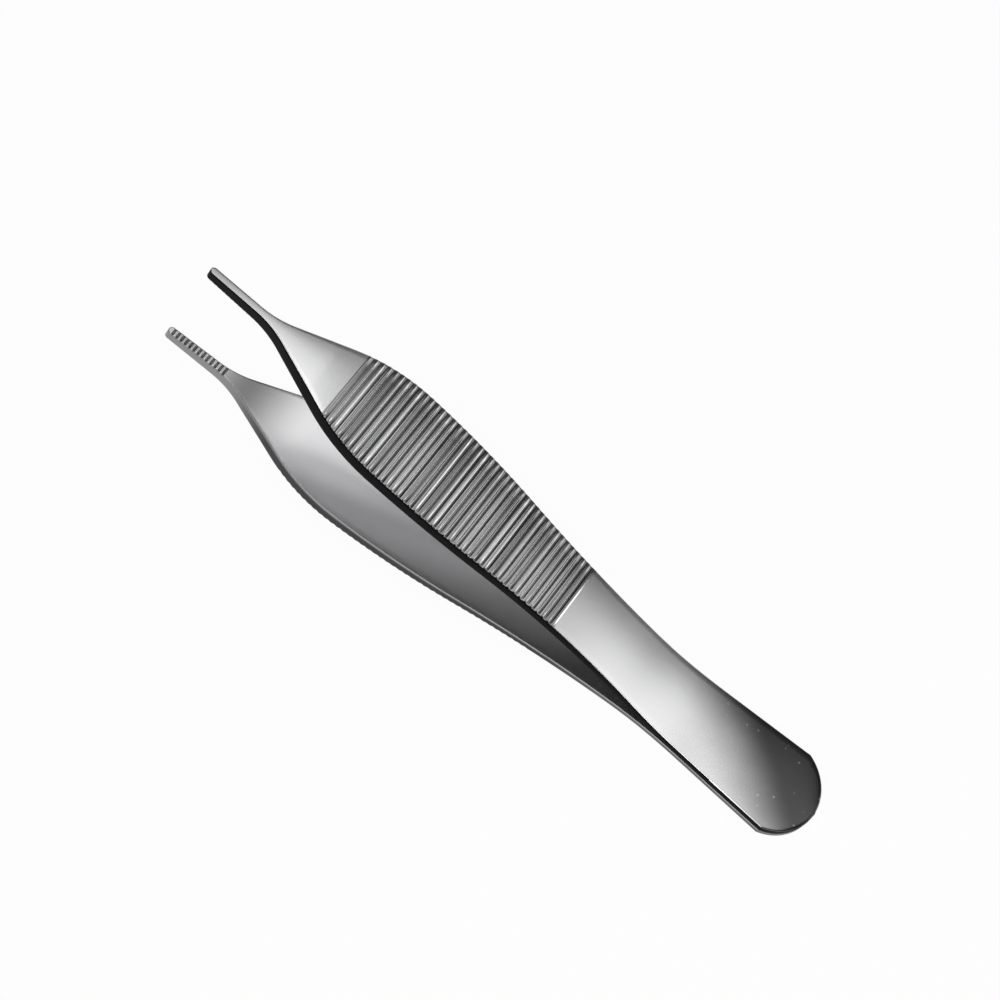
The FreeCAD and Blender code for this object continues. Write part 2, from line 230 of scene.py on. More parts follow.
@dataclass(frozen=True)
class SteelFinish:
    """A ground and polished steel surface.

    Args:
        name: material name.
        grey: how bright the bare metal is.
        roughness: mean roughness.
        metallic: one for bare metal, nought for the rim painted black as shade.
        shine: specular level of the rim painted black as shade.
        painted_shade_share: how much of the brightness a place of full painted shade loses.
        streak: how much the grinding lines vary the roughness.
        bump: height of the grinding lines in millimetres.
        painted_ramp: where painted shade darkens the metal along its length, or None.
        painted_bands: cross bands of painted shade, or of painted highlight where their level is over one.
        specks: True for a few bright pits in the part that the painted shade darkens.
        grain: how fine the grinding lines are along each axis.
        grain_detail: how many finer layers they have.
        bump_strength: how strongly they tilt the light.
        cloud_scale: how fine the metal's uneven tone is.
        cloud_detail: how many finer layers it has.
        cloud_share: how much it varies the brightness.
        cloud_roughness: how much it varies the roughness.
        painted_shade_roughness: roughness that a place of full painted shade gains.
        blue: blue of the metal over its red and green.
        pit_scale: how closely places for pits lie.
        pit_size: size of a pit in its cell.
        pit_patches: how fine the noise is that picks the places with a pit.
        pit_share: level of that noise above which a place has its pit.
        pit_level: brightness that a pit adds.
    """

    name: str
    grey: float
    roughness: float
    metallic: float = 1.0
    shine: float = 0.5
    painted_shade_share: float = 0.93
    streak: float = 0.03
    bump: float = 0.0008
    painted_ramp: PaintedShadeRamp | None = None
    painted_bands: tuple[PaintedShadeBand, ...] = ()
    specks: bool = False
    grain: tuple[float, float, float] = (60.0, 9000.0, 9000.0)
    grain_detail: float = 3.0
    bump_strength: float = 0.3
    cloud_scale: float = 140.0
    cloud_detail: float = 4.0
    cloud_share: float = 0.08
    cloud_roughness: float = 0.03
    painted_shade_roughness: float = 0.12
    blue: float = 1.012
    pit_scale: float = 640.0
    pit_size: float = 0.13
    pit_patches: float = 210.0
    pit_share: float = 0.41
    pit_level: float = 0.11

    def make(self) -> bpy.types.Material:
        """Build the material.

        Returns:
            The finished material.
        """
        material = bpy.data.materials.new(self.name)
        material.use_nodes = True
        recipe = Recipe(material.node_tree)
        place = recipe.node("ShaderNodeTexCoord", {}, {}, "Object")
        long = recipe.node("ShaderNodeMapping", {}, {"Vector": place, "Scale": self.grain})
        spread = {"Vector": long, "Scale": 1.0, "Detail": self.grain_detail}
        lines = recipe.node("ShaderNodeTexNoise", {}, spread)
        spread = {"Vector": place, "Scale": self.cloud_scale, "Detail": self.cloud_detail}
        cloud = recipe.node("ShaderNodeTexNoise", {}, spread)
        grey = self._grey_with_painted_shade(recipe, place, cloud)
        # The attribute read here holds painted shade, which darkens the colour and also roughens the
        # metal.
        painted_shade = recipe.node("ShaderNodeAttribute", {"attribute_name": "painted_shade"}, {}, "Fac")
        grey = grey * (1.0 - self.painted_shade_share * painted_shade)
        parts = {"Red": grey, "Green": grey, "Blue": grey * self.blue}
        colour = recipe.node("ShaderNodeCombineColor", {}, parts)
        rough = self.roughness - self.streak / 2 + self.streak * lines
        rough = rough + self.cloud_roughness * (cloud - 0.5) + self.painted_shade_roughness * painted_shade
        ground = {"Strength": self.bump_strength, "Distance": self.bump * MM, "Height": lines}
        height = recipe.node("ShaderNodeBump", {}, ground)
        sockets = {
            "Base Color": colour,
            "Metallic": self.metallic,
            "Specular IOR Level": self.shine,
            "Roughness": rough,
            "Normal": height,
        }
        shader = recipe.node("ShaderNodeBsdfPrincipled", {}, sockets)
        recipe.finish("ShaderNodeOutputMaterial", "Surface", shader)
        return material

    def _grey_with_painted_shade(self, recipe: Recipe, place: Wire, cloud: Wire) -> Wire:
        """Brightness of the bare metal, with its ramp and bands of painted shade and its pits."""
        grey = self.grey * (1.0 - self.cloud_share / 2 + self.cloud_share * cloud)
        along = recipe.node("ShaderNodeSeparateXYZ", {}, {"Vector": place}, "X")
        # Painted shade: the colour darkens along the arm, with a few bright pits in the darkened part.
        if self.painted_ramp is not None:
            across = recipe.node("ShaderNodeSeparateXYZ", {}, {"Vector": place}, "Y")
            slant = along + self.painted_ramp.lean * across + self.painted_ramp.waver * (cloud - 0.5)
            painted_ramp = recipe.rise(slant, self.painted_ramp.start, self.painted_ramp.end)
            grey = grey * (1.0 - (1.0 - self.painted_ramp.level) * painted_ramp)
            if self.specks:
                spread = {"Vector": place, "Scale": self.pit_scale}
                cells = recipe.node("ShaderNodeTexVoronoi", {}, spread, "Distance")
                spread = {"Vector": place, "Scale": self.pit_patches}
                chosen = recipe.node("ShaderNodeTexNoise", {}, spread)
                pit = (self.pit_size - cells).above(0.0) * (chosen - self.pit_share).above(0.0) * painted_ramp
                grey = grey + self.pit_level * pit
        # Cross bands of painted shade.
        for band in self.painted_bands:
            away = (along - band.middle).size()
            grey = grey * (band.level + (1.0 - band.level) * recipe.rise(away, 0.0, band.reach))
        return grey


@dataclass
class Arm:
    """One sprung arm.

    Lengths are in millimetres, and angles in degrees where the name doesn't say radians. Places within a
    groove or a notch are in pitches, and painted shade goes from nought on bare metal to one in a fully
    shaded groove.
    """

    side: Side
    # Side view
    overall_length: float = 120.0
    heel_length: float = 25.5
    heel_thickness: float = 1.15
    bend_radius: float = 25.0
    splay_angle: float = 10.9
    bow_radius: float = 550.0
    bow_end_from_tip: float = 25.4
    shoulder_bend_radius: float = 110.0
    shoulder_turn: float = 2.3
    shoulder_thickness: float = 2.6
    jaw_thickness: float = 1.8
    # Softened heel bend, whose fade is in blend lengths from the bend's middle
    blend_length: float = 15.0
    blend_fade: tuple[float, float] = (1.0, 1.7)
    blend_samples: int = 25
    # Outline seen from above
    jaw_tip_width: float = 1.3
    jaw_root_width: float = 1.45
    jaw_length: float = 9.0
    jaw_fillet_radius: float = 15.0
    flare_angle: float = 23.0
    widest_from_tip: float = 36.8
    grip_width: float = 17.0
    waist_from_heel: float = 39.5
    waist_width: float = 12.2
    handle_swell_radius: float = 180.0
    heel_width: float = 15.5
    heel_round_depth: float = 5.5
    # Cross grooves of the grip, whose depths vary by a share
    groove_count: int = 41
    groove_pitch: float = 1.12
    groove_depth: float = 0.3
    groove_start: float = 1.0
    groove_flanks: tuple[float, float] = (0.06, 0.40)
    groove_depth_shares: tuple[float, float] = (0.72, 1.0)
    groove_fade: float = 0.6
    groove_run_out: float = 0.9
    # Notches of the jaw
    notch_count: int = 13
    notch_pitch: float = 0.8
    notch_depth: float = 0.22
    notch_start: float = 0.6
    notch_flanks: tuple[float, float] = (0.04, 0.27)
    notch_fade: float = 0.8
    notch_run_out: float = 0.3
    # Rounded edges, at most a share of the half width, and the crown of the outer face
    edge_radius: float = 0.35
    inner_edge_radius: float = 0.14
    edge_share: float = 0.45
    crown: float = 0.18
    crown_half_width: float = 5.0
    # Painted shade of the grip: dark lines, shaded lands and painted highlight gleams, and the groove
    # numbers over which its lines grow darker
    ridge_reach: float = 0.62
    faint_line_grooves: tuple[float, float] = (-1.0, 8.0)
    line_place: float = 0.14
    line_edges: tuple[float, float] = (0.12, 0.24)
    line_levels: tuple[float, float] = (0.7, 1.0)
    groove_shade_shares: tuple[float, float] = (0.15, 1.0)
    groove_levels: tuple[float, float] = (0.75, 1.0)
    gleam_place: float = -0.2
    gleam_edges: tuple[float, float] = (0.03, 0.12)
    gleam_levels: tuple[float, float] = (0.4, 1.0)
    land_levels: tuple[float, float] = (0.58, 0.86)
    # Painted shade in the notches, on the ridge ends and on the side walls
    notch_painted_shade: float = 0.6
    notch_shade_power: int = 3
    ridge_end_painted_shade: float = 0.75
    look_back: float = 0.3
    wall_painted_shade: float = 0.9
    heel_wall_share: float = 0.6
    wall_shade_rise: tuple[float, float] = (1.0, 14.0)
    wall_shade_fall: tuple[float, float] = (-48.0, -34.0)
    # Limits of the finishes, where facing is how far a face looks outwards, from -1 to 1, and the rim
    # zones take painted shade
    bright_rim_from: float = -16.0
    bright_rim_facing: float = 0.5
    rim_facing: float = 0.8
    rim_back_facing: float = -0.95
    rim_share: float = 0.8
    inner_facing: float = -0.3
    # How finely the skin is drawn
    tip_first_radians: float = 0.2
    tip_stations: int = 9
    notch_stations: int = 10
    shoulder_step: float = 0.24
    grip_lead: float = 0.2
    groove_stations: int = 14
    handle_step: float = 0.3
    heel_stations: int = 64
    heel_last_turn: float = 1.0
    face_steps: int = 14
    edge_steps: int = 5
    wall_steps: int = 4
    smooth_angle: float = 40.0
    seed: int = 41

    @property
    def node(self) -> str:
        """Name of the CAD node that this arm stands for."""
        return "upper_arm" if self.side is Side.UPPER else "lower_arm"

    def __post_init__(self) -> None:
        """Work out the corner points of both views and how the grooves vary as ground by hand."""
        self._lay_out_side()
        self._lay_out_top()
        chance = np.random.default_rng(self.seed)
        depth_shares = chance.uniform(*self.groove_depth_shares, self.groove_count)
        self.groove_depths = self.groove_depth * depth_shares
        self.groove_shades = chance.uniform(*self.groove_shade_shares, self.groove_count)
        self.land_tones = chance.uniform(0.0, 1.0, self.groove_count)
        self.gleams = chance.uniform(0.0, 1.0, self.groove_count)

    @staticmethod
    def _at(point: tuple, distance: float, angle: float) -> tuple:
        """The point moved along the outward normal of a face that slopes by angle."""
        return (point[0] + distance * sin(angle), point[1] + distance * cos(angle))

    def _lay_out_side(self) -> None:
        """Centres and corners of the side view: x from the heel end, z from the meeting plane."""
        thick, bow = self.heel_thickness, self.bow_radius
        self.splay = radians(self.splay_angle)
        self.bend_centre = (-self.heel_length, thick + self.bend_radius)
        self.bow_start = self._at(self.bend_centre, -self.bend_radius, self.splay)
        self.bow_centre = self._at(self.bow_start, -bow, self.splay)
        end_x = self.bow_end_from_tip - self.overall_length
        self.bow_end_angle = asin((end_x - self.bow_centre[0]) / bow)
        self.bow_end = self._at(self.bow_centre, bow, self.bow_end_angle)
        self.jaw_angle = self.bow_end_angle - radians(self.shoulder_turn)
        self.shoulder_centre = self._at(self.bow_end, -self.shoulder_bend_radius, self.bow_end_angle)
        self.jaw_start = self._at(self.shoulder_centre, self.shoulder_bend_radius, self.jaw_angle)
        run = self.jaw_start[0] + self.overall_length
        self.tip_out = (-self.overall_length, self.jaw_start[1] + run * tan(self.jaw_angle))
        self.tip_in = self._at(self.tip_out, -self.jaw_thickness, self.jaw_angle)
        self.shoulder_in = self._at(self.bow_end, -self.shoulder_thickness, self.bow_end_angle)
        self.bow_in = self._at(self.bow_start, -thick, self.splay)
        dx, dz = self.bow_in[0] - self.shoulder_in[0], self.bow_in[1] - self.shoulder_in[1]
        half = hypot(dx, dz) / 2
        drop = sqrt(bow**2 - half**2) / (2 * half)
        self.inner_centre = (
            (self.bow_in[0] + self.shoulder_in[0]) / 2 + dz * drop,
            (self.bow_in[1] + self.shoulder_in[1]) / 2 - dx * drop,
        )
        reach = hypot(self.bow_centre[0], thick - self.bow_centre[1])
        lean = atan2(-self.bow_centre[0], thick - self.bow_centre[1])
        self.rest_angle = asin(bow / reach) - (pi / 2 - lean)

    def _lay_out_top(self) -> None:
        """Centres and corners of half the outline seen from above."""
        tip_x = -self.overall_length
        self.root_x = tip_x + self.jaw_length
        fillet = self.jaw_fillet_radius
        half_tip, half_root = self.jaw_tip_width / 2, self.jaw_root_width / 2
        taper = atan2(half_root - half_tip, self.jaw_length)
        self.fillet_centre = (self.root_x - fillet * sin(taper), half_root + fillet * cos(taper))
        ramp = radians(self.flare_angle)
        self.ramp_start = (
            self.fillet_centre[0] + fillet * sin(ramp),
            self.fillet_centre[1] - fillet * cos(ramp),
        )
        self.widest = (tip_x + self.widest_from_tip, self.grip_width / 2)
        run, rise = self.widest[0] - self.ramp_start[0], self.widest[1] - self.ramp_start[1]
        self.flare_radius = (run * sin(ramp) - rise * cos(ramp)) / (1 - cos(ramp))
        self.ramp_end_x = self.widest[0] - self.flare_radius * sin(ramp)
        self.waist = (-self.waist_from_heel, self.waist_width / 2)
        fall, span = self.widest[1] - self.waist[1], self.waist[0] - self.widest[0]
        self.curve_radius = (span**2 + fall**2) / (4 * fall)
        self.corner = (-self.heel_round_depth, self.heel_width / 2)
        swell = self.handle_swell_radius
        to_x = self.waist[0] - self.corner[0]
        to_y = self.waist[1] + swell - self.corner[1]
        reach = hypot(to_x, to_y)
        heading = atan2(to_y, to_x) + asin(swell / reach)
        straight = sqrt(reach**2 - swell**2)
        self.handle_end_x = self.corner[0] + straight * cos(heading)
        self.handle_slope = tan(heading)
        self.end_radius = (self.heel_round_depth**2 + self.corner[1] ** 2) / (2 * self.heel_round_depth)

    @staticmethod
    def _arc(centre: tuple, radius: float, x: np.ndarray, up: int) -> np.ndarray:
        """Height of an arc over x, above its centre where up is 1 and below it where up is -1."""
        return centre[1] + up * np.sqrt(np.maximum(radius**2 - (x - centre[0]) ** 2, 0.0))

    def blended(self, height: Callable[[np.ndarray], np.ndarray], x: np.ndarray) -> np.ndarray:
        """Soften the heel bend of a side view line.

        Args:
            height: gives the line's height at each x.
            x: places along the arm.

        Returns:
            The heights, eased over blend_length where the heel bends.
        """
        middle = -self.heel_length - self.bend_radius * sin(self.splay) / 2
        share = 1.0 - self._smooth(*self.blend_fade, np.abs(x - middle) / self.blend_length)
        reach = self.blend_length * share / 2
        steps = np.linspace(-1.0, 1.0, self.blend_samples)
        weights = 1.0 - steps**2
        heights = (height(np.minimum(x + step * reach, 0.0)) for step in steps)
        return sum(weight * level for weight, level in zip(weights, heights)) / weights.sum()

    def outer_height(self, x: np.ndarray) -> np.ndarray:
        """Height of the smooth outer face over the meeting plane at each x."""
        jaw = self.jaw_start[1] + (self.jaw_start[0] - x) * tan(self.jaw_angle)
        shoulder = self._arc(self.shoulder_centre, self.shoulder_bend_radius, x, 1)
        bow = self._arc(self.bow_centre, self.bow_radius, x, 1)
        bend = self._arc(self.bend_centre, self.bend_radius, x, -1)
        spans = [x < self.jaw_start[0], x < self.bow_end[0], x < self.bow_start[0], x < -self.heel_length]
        return np.select(spans, [jaw, shoulder, bow, bend], self.heel_thickness)

    def inner_height(self, x: np.ndarray) -> np.ndarray:
        """Height of the inner face over the meeting plane at each x, without its notches."""
        slope = (self.shoulder_in[1] - self.tip_in[1]) / (self.shoulder_in[0] - self.tip_in[0])
        jaw = self.shoulder_in[1] + (x - self.shoulder_in[0]) * slope
        bow = self._arc(self.inner_centre, self.bow_radius, x, 1)
        bend = self._arc(self.bend_centre, self.bend_radius + self.heel_thickness, x, -1)
        spans = [x < self.shoulder_in[0], x < self.bow_in[0], x < -self.heel_length]
        return np.select(spans, [jaw, bow, bend], 0.0)

    def half_width(self, x: np.ndarray) -> np.ndarray:
        """Half the arm's width at each x."""
        taper = (self.jaw_root_width - self.jaw_tip_width) / 2 / self.jaw_length
        jaw = self.jaw_tip_width / 2 + (x + self.overall_length) * taper
        fillet = self._arc(self.fillet_centre, self.jaw_fillet_radius, x, -1)
        ramp = self.ramp_start[1] + (x - self.ramp_start[0]) * tan(radians(self.flare_angle))
        flare = self._arc((self.widest[0], self.widest[1] - self.flare_radius), self.flare_radius, x, 1)
        grip = self._arc((self.widest[0], self.widest[1] - self.curve_radius), self.curve_radius, x, 1)
        waist = self._arc((self.waist[0], self.waist[1] + self.curve_radius), self.curve_radius, x, -1)
        swell_radius = self.handle_swell_radius
        swell = self._arc((self.waist[0], self.waist[1] + swell_radius), swell_radius, x, -1)
        handle = self.corner[1] + (x - self.corner[0]) * self.handle_slope
        heel = self._arc((-self.end_radius, 0.0), self.end_radius, x, 1)
        turn_x = (self.widest[0] + self.waist[0]) / 2
        limits = [self.root_x, self.ramp_start[0], self.ramp_end_x, self.widest[0], turn_x]
        limits += [self.waist[0], self.handle_end_x, self.corner[0]]
        lines = [jaw, fillet, ramp, flare, grip, waist, swell, handle]
        width = np.select([x < limit for limit in limits], lines, heel)
        near = np.clip((x + self.overall_length) / self.tip_rounding, 0.0, 1.0)
        return width * np.sqrt(1.0 - (1.0 - near) ** 2)

    @staticmethod
    def _between(levels: tuple[float, float], share: np.ndarray) -> np.ndarray:
        """The level that lies at a share of the way from the first to the second."""
        return levels[0] + (levels[1] - levels[0]) * share

    @staticmethod
    def _smooth(low: float, high: float, value: np.ndarray) -> np.ndarray:
        """Soft step from nought at low to one at high."""
        part = np.clip((value - low) / (high - low), 0.0, 1.0)
        return part * part * (3.0 - 2.0 * part)

    def groove_near(self, x: np.ndarray) -> tuple[np.ndarray, np.ndarray]:
        """Number of the cross groove nearest to each x, and how many pitches away its middle is."""
        angle = np.arcsin(np.clip((x - self.bow_centre[0]) / self.bow_radius, -1.0, 1.0))
        along = (angle - self.bow_end_angle) * self.bow_radius - self.groove_start
        number = np.clip(np.round(along / self.groove_pitch), 0, self.groove_count - 1).astype(int)
        return number, along / self.groove_pitch - number

    def groove_at(self, x: np.ndarray) -> np.ndarray:
        """How deep the grip's cross grooves are at each x."""
        number, away = self.groove_near(x)
        return self.groove_depths[number] * (1.0 - self._smooth(*self.groove_flanks, np.abs(away)))

    def painted_shade_at(self, x: np.ndarray) -> np.ndarray:
        """How much painted shade the grip takes at each x, from nought on bare metal to one in a fully
        shaded groove.
        """
        number, away = self.groove_near(x)
        ridged = np.abs(away) < self.ridge_reach
        # Painted shade: a dark line in each groove and shaded lands, which a painted highlight gleam
        # spares on each ridge; the first grooves' lines are fainter.
        line_strength = self._smooth(*self.faint_line_grooves, number)
        line = 1.0 - self._smooth(*self.line_edges, np.abs(away - self.line_place))
        line *= self._between(self.line_levels, line_strength)
        line *= self._between(self.groove_levels, self.groove_shades[number])
        gleam = 1.0 - self._smooth(*self.gleam_edges, np.abs(away - self.gleam_place))
        gleam *= self._between(self.gleam_levels, self.gleams[number])
        land = self._between(self.land_levels, self.land_tones[number]) * ridged
        return np.maximum(line, land * (1.0 - gleam))

    def notch_at(self, x: np.ndarray) -> np.ndarray:
        """How deep the jaw's inner notches are at each x."""
        lead = self.notch_start + (self.notch_pitch / 2 if self.side is Side.LOWER else 0.0)
        along = x - self.tip_in[0] - lead
        number = np.clip(np.round(along / self.notch_pitch), 0, self.notch_count - 1)
        away = np.abs(along - number * self.notch_pitch) / self.notch_pitch
        return self.notch_depth * (1.0 - self._smooth(*self.notch_flanks, away))

    def stations(self) -> np.ndarray:
        """Places along the arm, from the tip to the heel end, where its section is drawn."""
        tip = -self.overall_length
        tip_turns = np.linspace(self.tip_first_radians, pi / 2, self.tip_stations)
        rounding = self.tip_rounding * (1 - np.cos(tip_turns))
        notches_end = tip + self.notch_start + (self.notch_count + 0.5) * self.notch_pitch
        jaw = np.arange(tip + self.tip_rounding, notches_end, self.notch_pitch / self.notch_stations)
        grip_start = self.bow_end[0] - self.grip_lead
        grip_end = self.bow_end[0] + self.groove_start + self.groove_count * self.groove_pitch
        shoulder = np.arange(jaw[-1], grip_start, self.shoulder_step)
        grip = np.arange(grip_start, grip_end, self.groove_pitch / self.groove_stations)
        handle = np.arange(grip_end, self.corner[0], self.handle_step)
        corner_turn = asin(self.corner[1] / self.end_radius)
        turns = np.linspace(corner_turn, radians(self.heel_last_turn), self.heel_stations)
        heel = -self.end_radius * (1 - np.cos(turns))
        return np.unique(np.concatenate([tip + rounding, jaw, shoulder, grip, handle, heel]).round(5))

    @property
    def tip_rounding(self) -> float:
        """How far from its end the jaw tip starts to round off."""
        return 0.5 * self.jaw_tip_width

    def _edge_distance(self, x: np.ndarray, y: np.ndarray) -> np.ndarray:
        """Distance from each point of a section to the outline seen from above."""
        step = 0.01
        slope = (self.half_width(x + step) - self.half_width(x - step)) / (2 * step)
        beside = (self.half_width(x) - np.abs(y)) / np.hypot(1.0, slope)
        heel = self.end_radius - np.hypot(x + self.end_radius, y)
        beside = np.where(x > self.corner[0], heel, beside)
        return np.maximum(np.minimum(beside, x + self.overall_length), 0.0)

    @staticmethod
    def _rounding(distance: np.ndarray, radius: np.ndarray) -> np.ndarray:
        """How far a rounded edge lies under the face at a distance from the outline."""
        short = np.clip(radius - distance, 0.0, radius)
        return radius - np.sqrt(radius**2 - short**2)

    def _row(self, x: np.ndarray, outer: bool) -> tuple[np.ndarray, np.ndarray]:
        """Points across one face of every section.

        Args:
            x: the stations.
            outer: True for the outer face, False for the inner one.

        Returns:
            The places across the arm and their heights, one line per station.
        """
        half = self.half_width(x)[:, None]
        x = x[:, None]
        radius = np.minimum(self.edge_radius if outer else self.inner_edge_radius, self.edge_share * half)
        turn = np.linspace(0.0, pi / 2, self.edge_steps + 1)[None, :-1]
        edge = half - radius * (1 - np.cos(turn))
        middle = (half - radius) * np.linspace(1.0, -1.0, self.face_steps + 1)[None, :]
        y = np.concatenate([edge, middle, -edge[:, ::-1]], axis=1)
        fall = self._rounding(self._edge_distance(x, y), radius)
        beside = half - np.abs(y)
        if outer:
            rise = self.crown * np.minimum(half / self.crown_half_width, 1.0)
            arch = -rise * (y / half) ** 2 + (rise if self.side is Side.UPPER else 0.0)
            fade = 1.0 - self.groove_fade * (1.0 - self._smooth(0.0, self.groove_run_out, beside))
            return y, self.blended(self.outer_height, x) + arch - self.groove_at(x) * fade - fall
        fade = 1.0 - self.notch_fade * (1.0 - self._smooth(0.0, self.notch_run_out, beside))
        return y, self.blended(self.inner_height, x) + self.notch_at(x) * fade + fall

    def build(self, shift: Vector) -> bpy.types.Object:
        """Form the arm from a flat strip that is rolled round its sections and closed.

        Args:
            shift: where the meeting plane's heel end lies, in metres.

        Returns:
            The arm's object.
        """
        x = self.stations()
        outer_y, outer_z = self._row(x, True)
        inner_y, inner_z = self._row(x, False)
        share = np.linspace(0.0, 1.0, self.wall_steps + 1)[None, 1:-1]
        far_z = outer_z[:, -1:] + (inner_z[:, -1:] - outer_z[:, -1:]) * share
        near_z = inner_z[:, :1] + (outer_z[:, :1] - inner_z[:, :1]) * share
        wall_y = np.repeat(outer_y[:, -1:], self.wall_steps - 1, axis=1)
        ring_y = np.concatenate([outer_y, wall_y, inner_y[:, ::-1], -wall_y, outer_y[:, :1]], axis=1)
        ring_z = np.concatenate([outer_z, far_z, inner_z[:, ::-1], near_z, outer_z[:, :1]], axis=1)
        ring_x = np.repeat(x[:, None], ring_y.shape[1], axis=1)
        piece = self._strip(len(x), ring_y.shape[1])
        self._roll(piece, np.stack([ring_x, ring_y, self.side.value * ring_z], axis=2), shift)
        self._close(piece)
        return piece

    def _strip(self, long: int, round_points: int) -> bpy.types.Object:
        """Add a flat grid with one column for each section point."""
        bpy.ops.object.select_all(action="DESELECT")
        bpy.ops.mesh.primitive_grid_add(x_subdivisions=long - 1, y_subdivisions=round_points - 1, size=1.0)
        piece = bpy.context.object
        piece.name = self.node + "_steel"
        return piece

    def _roll(self, piece: bpy.types.Object, points: np.ndarray, shift: Vector) -> None:
        """Move the strip's points onto the sections, as the arm lies at rest."""
        mesh = piece.data
        flat = np.empty(len(mesh.vertices) * 3)
        mesh.vertices.foreach_get("co", flat)
        flat = flat.reshape(-1, 3)
        column = np.rint((flat[:, 0] + 0.5) * (points.shape[0] - 1)).astype(int)
        row = np.rint((flat[:, 1] + 0.5) * (points.shape[1] - 1)).astype(int)
        local = points[column, row] * MM
        turn = self.rest_angle
        laid = np.empty_like(local)
        laid[:, 0] = local[:, 0] * cos(turn) + local[:, 2] * sin(turn) + shift.x
        laid[:, 1] = local[:, 1]
        laid[:, 2] = -local[:, 0] * sin(turn) + local[:, 2] * cos(turn) + shift.z
        mesh.vertices.foreach_set("co", laid.ravel())
        mesh.update()
        self._paint_shade(piece, column, row, points[:, 0, 0])

    def _close(self, piece: bpy.types.Object) -> None:
        """Weld the strip's seam, cap its ends, turn its faces outwards and smooth it."""
        bpy.ops.object.mode_set(mode="EDIT")
        bpy.ops.mesh.select_all(action="SELECT")
        bpy.ops.mesh.remove_doubles(threshold=WELD_REACH)
        bpy.ops.mesh.select_all(action="DESELECT")
        bpy.ops.mesh.select_mode(type="EDGE")
        bpy.ops.mesh.select_non_manifold()
        bpy.ops.mesh.fill_holes(sides=0)
        bpy.ops.mesh.select_all(action="SELECT")
        bpy.ops.mesh.normals_make_consistent(inside=False)
        bpy.ops.object.mode_set(mode="OBJECT")
        bpy.ops.object.shade_smooth_by_angle(angle=radians(self.smooth_angle))

    def _paint_shade(self, piece: bpy.types.Object, column: np.ndarray, row: np.ndarray, x: np.ndarray) -> None:
        """Note on every point how much painted shade its colour takes, for the finishes to read."""
        outer = 2 * self.edge_steps + self.face_steps + 1
        inner = outer + self.wall_steps - 1
        # Painted shade in the grooves and on the lands of the grip, in the notches, on the rims where the
        # ridges end and on the side walls.
        painted_shade = np.where(row < outer, self.painted_shade_at(x)[column], 0.0)
        notch = self.notch_painted_shade * (self.notch_at(x)[column] / self.notch_depth) ** self.notch_shade_power
        painted_shade = np.where((row >= inner) & (row < inner + outer), notch, painted_shade)
        edge = (row <= self.edge_steps) | ((row >= outer - self.edge_steps - 1) & (row < outer))
        ridged = self.painted_shade_at(x)[column] + self.painted_shade_at(x - self.look_back)[column] > 0.0
        painted_shade = np.where(edge & ridged, np.maximum(painted_shade, self.ridge_end_painted_shade), painted_shade)
        wall = ((row >= outer - 1) & (row < inner)) | (row >= inner + outer) | (row == 0)
        start, full = self.wall_shade_rise
        level = self.wall_painted_shade * self._smooth(self.root_x + start, self.root_x + full, x)
        level *= self._between((1.0, self.heel_wall_share), self._smooth(*self.wall_shade_fall, x))
        painted_shade = np.where(wall, np.maximum(painted_shade, level[column]), painted_shade)
        attribute = piece.data.attributes.new("painted_shade", "FLOAT", "POINT")
        attribute.data.foreach_set("value", painted_shade.astype(np.float32))

    def _zones(self, x: np.ndarray, y: np.ndarray, facing: np.ndarray) -> np.ndarray:
        """Choose the zone of each face.

        Args:
            x: places of the faces along the arm, in millimetres.
            y: places of the faces across it, in millimetres.
            facing: how far each face looks outwards, from -1 to 1.

        Returns:
            The slot number of each face's zone.
        """
        beside = self.half_width(x) - np.abs(y)
        limit = np.where(x > self.bright_rim_from, self.bright_rim_facing, self.rim_facing)
        rim = (beside < self.rim_share * self.edge_radius) & (facing < limit)
        rim &= facing > self.rim_back_facing
        start = self.bow_end[0] + self.groove_start - 0.5 * self.groove_pitch
        ridged = (x > start) & (x < start + self.groove_count * self.groove_pitch)
        face = np.where(ridged, Zone.GRIP.value, Zone.FACE.value)
        face = np.where(facing < self.inner_facing, Zone.INNER.value, face)
        # The rim takes painted shade, darker on the upper arm than on the lower one.
        return np.where(rim, (Zone.WALL if self.side is Side.UPPER else Zone.EDGE).value, face)

    def dress(
        self, piece: bpy.types.Object, shift: Vector, finishes: dict[Zone, bpy.types.Material]
    ) -> None:
        """Give each face the finish of its zone.

        Args:
            piece: the arm.
            shift: where the meeting plane's heel end lies, in metres.
            finishes: one material for each zone.
        """
        for zone in Zone:
            piece.data.materials.append(finishes[zone])
        faces = piece.data.polygons
        centre, normal = np.empty(3 * len(faces)), np.empty(3 * len(faces))
        faces.foreach_get("center", centre)
        faces.foreach_get("normal", normal)
        centre = (centre.reshape(-1, 3) - np.array(shift)) / MM
        normal = normal.reshape(-1, 3)
        slope, rise = sin(self.rest_angle), cos(self.rest_angle)
        along = centre[:, 0] * rise - centre[:, 2] * slope
        facing = self.side.value * (normal[:, 0] * slope + normal[:, 2] * rise)
        zones = self._zones(along, centre[:, 1], facing)
        faces.foreach_set("material_index", zones.astype(np.int32))


